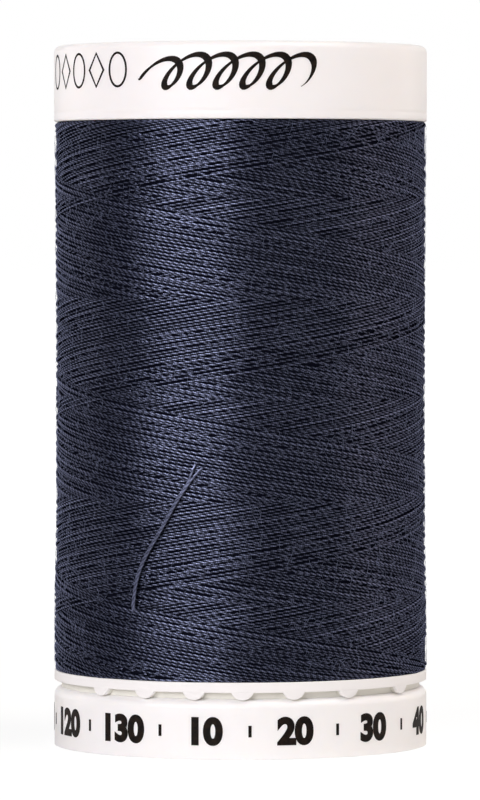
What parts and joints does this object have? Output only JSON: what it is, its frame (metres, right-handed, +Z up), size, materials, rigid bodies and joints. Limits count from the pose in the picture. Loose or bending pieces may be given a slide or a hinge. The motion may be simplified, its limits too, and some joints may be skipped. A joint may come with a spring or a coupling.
{
  "type": "spool of sewing thread",
  "caption": "Round two-piece plastic spool with a snap base that grips the thread end, filled with a cross-wound barrel of sewing thread.",
  "frame": {"origin": "centre of the standing face, on the spool's axis", "axes": "+Z up along the spool's axis, -Y towards the side where the loose thread end lies"},
  "size_m": [0.033, 0.033, 0.0618],
  "materials": {
    "white_cap": "moulded white plastic with a soft gloss",
    "white_body": "moulded milky white plastic, slightly translucent",
    "thread": "spun polyester sewing thread, dark slate blue, slightly hairy"
  },
  "bodies": {
    "base": {"base_cap": "white_cap"},
    "spool": {"spool_body": "white_body", "top_cap": "white_cap", "thread_winding": "thread", "thread_tail": "thread"}
  },
  "joints": [
    {"name": "snap_lift", "type": "slide", "parent": "base", "child": "spool", "axis": [0, 0, 1], "range_m": [0, 0.0016]}
  ]
}
